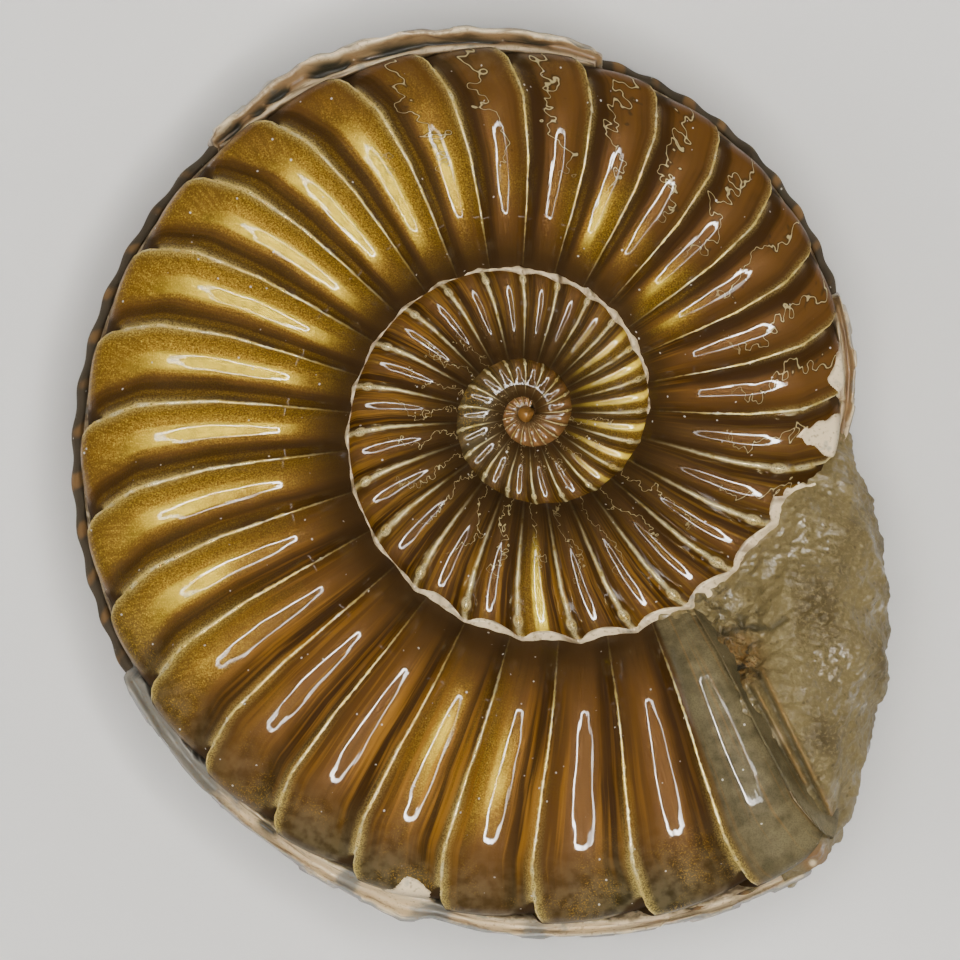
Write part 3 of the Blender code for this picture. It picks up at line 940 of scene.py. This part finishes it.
def near_path(points, path, width):
    """1 on a path, falling to 0 at about this distance in mm from it."""
    nearest = np.full(len(points), 1e9)
    for start, end in zip(path[:-1], path[1:]):
        start, end = np.array(start), np.array(end)
        along = np.clip((points[:, :2] - start) @ (end - start) / ((end - start) @ (end - start)),
                        0.0, 1.0)
        away = points[:, :2] - start - along[:, None] * (end - start)
        nearest = np.minimum(nearest, np.hypot(away[:, 0], away[:, 1]))
    return np.exp(-(nearest / width) ** 2)


def near_spot(points, x, y, width):
    """1 on a round spot, falling to 0 at about this distance in mm from its middle."""
    return np.exp(-(np.hypot(points[:, 0] - x, points[:, 1] - y) / width) ** 4)


def matrix_mesh(material):
    """The rough lump of stone in and beside the mouth."""
    angles = np.linspace(MATRIX_ANGLES[0], MATRIX_ANGLES[-1], 280)
    turns = np.linspace(0.0, 2.0 * np.pi, 300, endpoint=False)
    outer = np.interp(angles, MATRIX_ANGLES, MATRIX_OUTER_MM)[:, None]
    half = np.interp(angles, MATRIX_ANGLES, MATRIX_HALF_MM)[:, None]
    inner = 0.8 * keel_mm(LAST_TURN - 360.0 + angles)[:, None]
    centre = 0.5 * (inner + outer)
    radius = centre + 0.5 * (outer - inner) * np.cos(turns)
    up = np.sign(np.sin(turns)) * np.abs(np.sin(turns)) ** 0.6
    around = np.radians(angles)[:, None]
    points = np.stack([radius * np.cos(around), radius * np.sin(around),
                       np.broadcast_to(half * up, radius.shape)], axis=-1).reshape(-1, 3)
    middle = np.stack([centre * np.cos(around), centre * np.sin(around), 0.0 * around], axis=-1)
    away = points - np.broadcast_to(middle, (*radius.shape, 3)).reshape(-1, 3)
    away /= np.linalg.norm(away, axis=1)[:, None] + 1e-9
    lumps = 0.22 * wave_noise(points, 4.0, 1) + 0.10 * wave_noise(points, 1.5, 2)
    lumps += 0.045 * wave_noise(points, 0.6, 3)
    points = points + away * lumps[:, None]
    top = points[:, 2] > 0.0
    broken = near_spot(points, *BROKEN_SPOT)
    brown = near_spot(points, *BROWN_SPOT) * top
    # Creases, cut in and painted dark as shade.
    shaded_crease = sum(near_path(points, path, 0.16) for path in SHADED_CREASES) * top
    ridge = sum(near_path(points, path, 0.11) for path in RIDGES) * top
    points[:, 2] += top * (0.26 * ridge - 0.22 * shaded_crease - 1.1 * broken)
    points[:, 2] += 0.10 * brown * wave_noise(points, 0.5, 4)
    points[:, 2] += 0.17 * top * broken * wave_noise(points, 0.8, 5)
    marks = {
        "brown": brown,
        "shaded_crease": np.clip(shaded_crease, 0.0, 1.0) * 0.6,
        "broken": np.maximum(brown, 0.6 * broken * top),
        "ridge": np.clip(ridge, 0.0, 1.0),
        "rust": near_spot(points, *RUST_SPOT),
        "pale": near_spot(points, *PALE_SPOT) + 0.22 * near_spot(points, *FADED_SPOT) * top,
        "wet": sum(near_spot(points, *spot) for spot in WET_SPOTS),
    }
    faces = tube_faces(len(angles), len(turns), flip=True)
    return mesh_object("matrix_stone", points, faces, marks, material, "matrix")


def floor_material():
    make = Nodes("pale table")
    make.feed(Base_Color=(0.80, 0.79, 0.77, 1.0), Roughness=0.75)
    return make.material


def ring_light(height, inner, outer, strength):
    """A flat glowing ring over the fossil, which the camera doesn't see.

    It is brightest at the lower right.
    """
    sides = 96
    points, faces = [], []
    for i in range(sides):
        around = 2.0 * math.pi * i / sides
        for radius in (inner, outer):
            points.append((radius * math.cos(around), radius * math.sin(around), height))
        following = (i + 1) % sides
        faces.append((2 * i, 2 * following, 2 * following + 1, 2 * i + 1))
    data = bpy.data.meshes.new("ring light")
    data.from_pydata(points, [], faces)
    glow = Nodes("ring glow")
    split = glow.tree.nodes.new("ShaderNodeSeparateXYZ")
    glow.link(glow.point(), split.inputs[0])
    lower_right = glow.minus(split.outputs["X"], glow.times(split.outputs["Y"], 0.6))
    power = glow.between(lower_right, -outer, outer, 0.45 * strength, 1.5 * strength)
    glow.feed(Base_Color=(0.0, 0.0, 0.0, 1.0), Emission_Color=(1.0, 0.97, 0.92, 1.0),
              Emission_Strength=power)
    data.materials.append(glow.material)
    obj = bpy.data.objects.new("ring light", data)
    bpy.context.scene.collection.objects.link(obj)
    obj.visible_camera = False
    return obj


def area_light(name, azimuth, elevation, distance, power):
    """A large soft light that leaves no reflection."""
    data = bpy.data.lights.new(name, "AREA")
    data.shape = "DISK"
    data.size = 0.6
    data.energy = power
    obj = bpy.data.objects.new(name, data)
    a, e = math.radians(azimuth), math.radians(elevation)
    way = Vector((math.cos(a) * math.cos(e), math.sin(a) * math.cos(e), math.sin(e)))
    obj.location = way * distance
    obj.rotation_euler = way.to_track_quat("Z", "Y").to_euler()
    bpy.context.scene.collection.objects.link(obj)
    obj.visible_camera = False
    obj.visible_glossy = False


def studio():
    """The table, the lights and the world."""
    bpy.ops.mesh.primitive_plane_add(size=3.0)
    floor = bpy.context.active_object
    floor.name = "table"
    floor.data.materials.append(floor_material())
    ring = ring_light(height=0.40, inner=0.098, outer=0.118, strength=52.0)
    area_light("soft left", azimuth=190.0, elevation=42.0, distance=0.9, power=2.9)
    area_light("soft right", azimuth=20.0, elevation=38.0, distance=1.0, power=1.6)
    world = bpy.data.worlds.new("studio")
    bpy.context.scene.world = world
    world.use_nodes = True
    background = world.node_tree.nodes["Background"]
    background.inputs["Color"].default_value = (0.9, 0.95, 1.0, 1.0)
    background.inputs["Strength"].default_value = 0.12


def camera():
    """Looks along the coil's axis, framed as the photograph."""
    data = bpy.data.cameras.new("camera")
    data.lens = 600.0
    data.sensor_width = 36.0
    obj = bpy.data.objects.new("camera", data)
    bpy.context.scene.collection.objects.link(obj)
    distance = PHOTO_PIXELS * MM_PER_PIXEL * data.lens / data.sensor_width * MM
    half = PHOTO_PIXELS / 2
    middle = placed([[(half - COIL_PIXEL[0]) * MM_PER_PIXEL, (COIL_PIXEL[1] - half) * MM_PER_PIXEL,
                      FOCUS_MM]])[0]
    up = placed([[0.0, 0.0, 1.0]])[0] - placed([[0.0, 0.0, 0.0]])[0]
    back = Vector(up).normalized()
    right = Vector((0.0, 1.0, 0.0)).cross(back).normalized()
    turned = Matrix((right, back.cross(right), back)).transposed()
    obj.matrix_world = Matrix.Translation(Vector(middle) + back * distance) @ turned.to_4x4()
    data.clip_start, data.clip_end = 0.01, 10.0
    bpy.context.scene.camera = obj


def main():
    surface = pyrite()
    for stretch in STRETCHES:
        coil_mesh(*stretch, surface)
    first_chamber(surface)
    crust = shell_crust()
    skin_mesh("rim_shell", rib_range=(-3.4, 25.0), place_range=(0.72, 1.0), counts=(900, 60),
              edge=rim_edge, lift=rim_lift, level=rim_level, material=crust)
    skin_mesh("seam_shell", rib_range=(-50.0, -1.5), place_range=(0.55, 0.86), counts=(1500, 40),
              edge=seam_edge, lift=seam_lift, level=seam_level, material=crust)
    matrix_mesh(matrix_stone())
    studio()
    camera()


main()
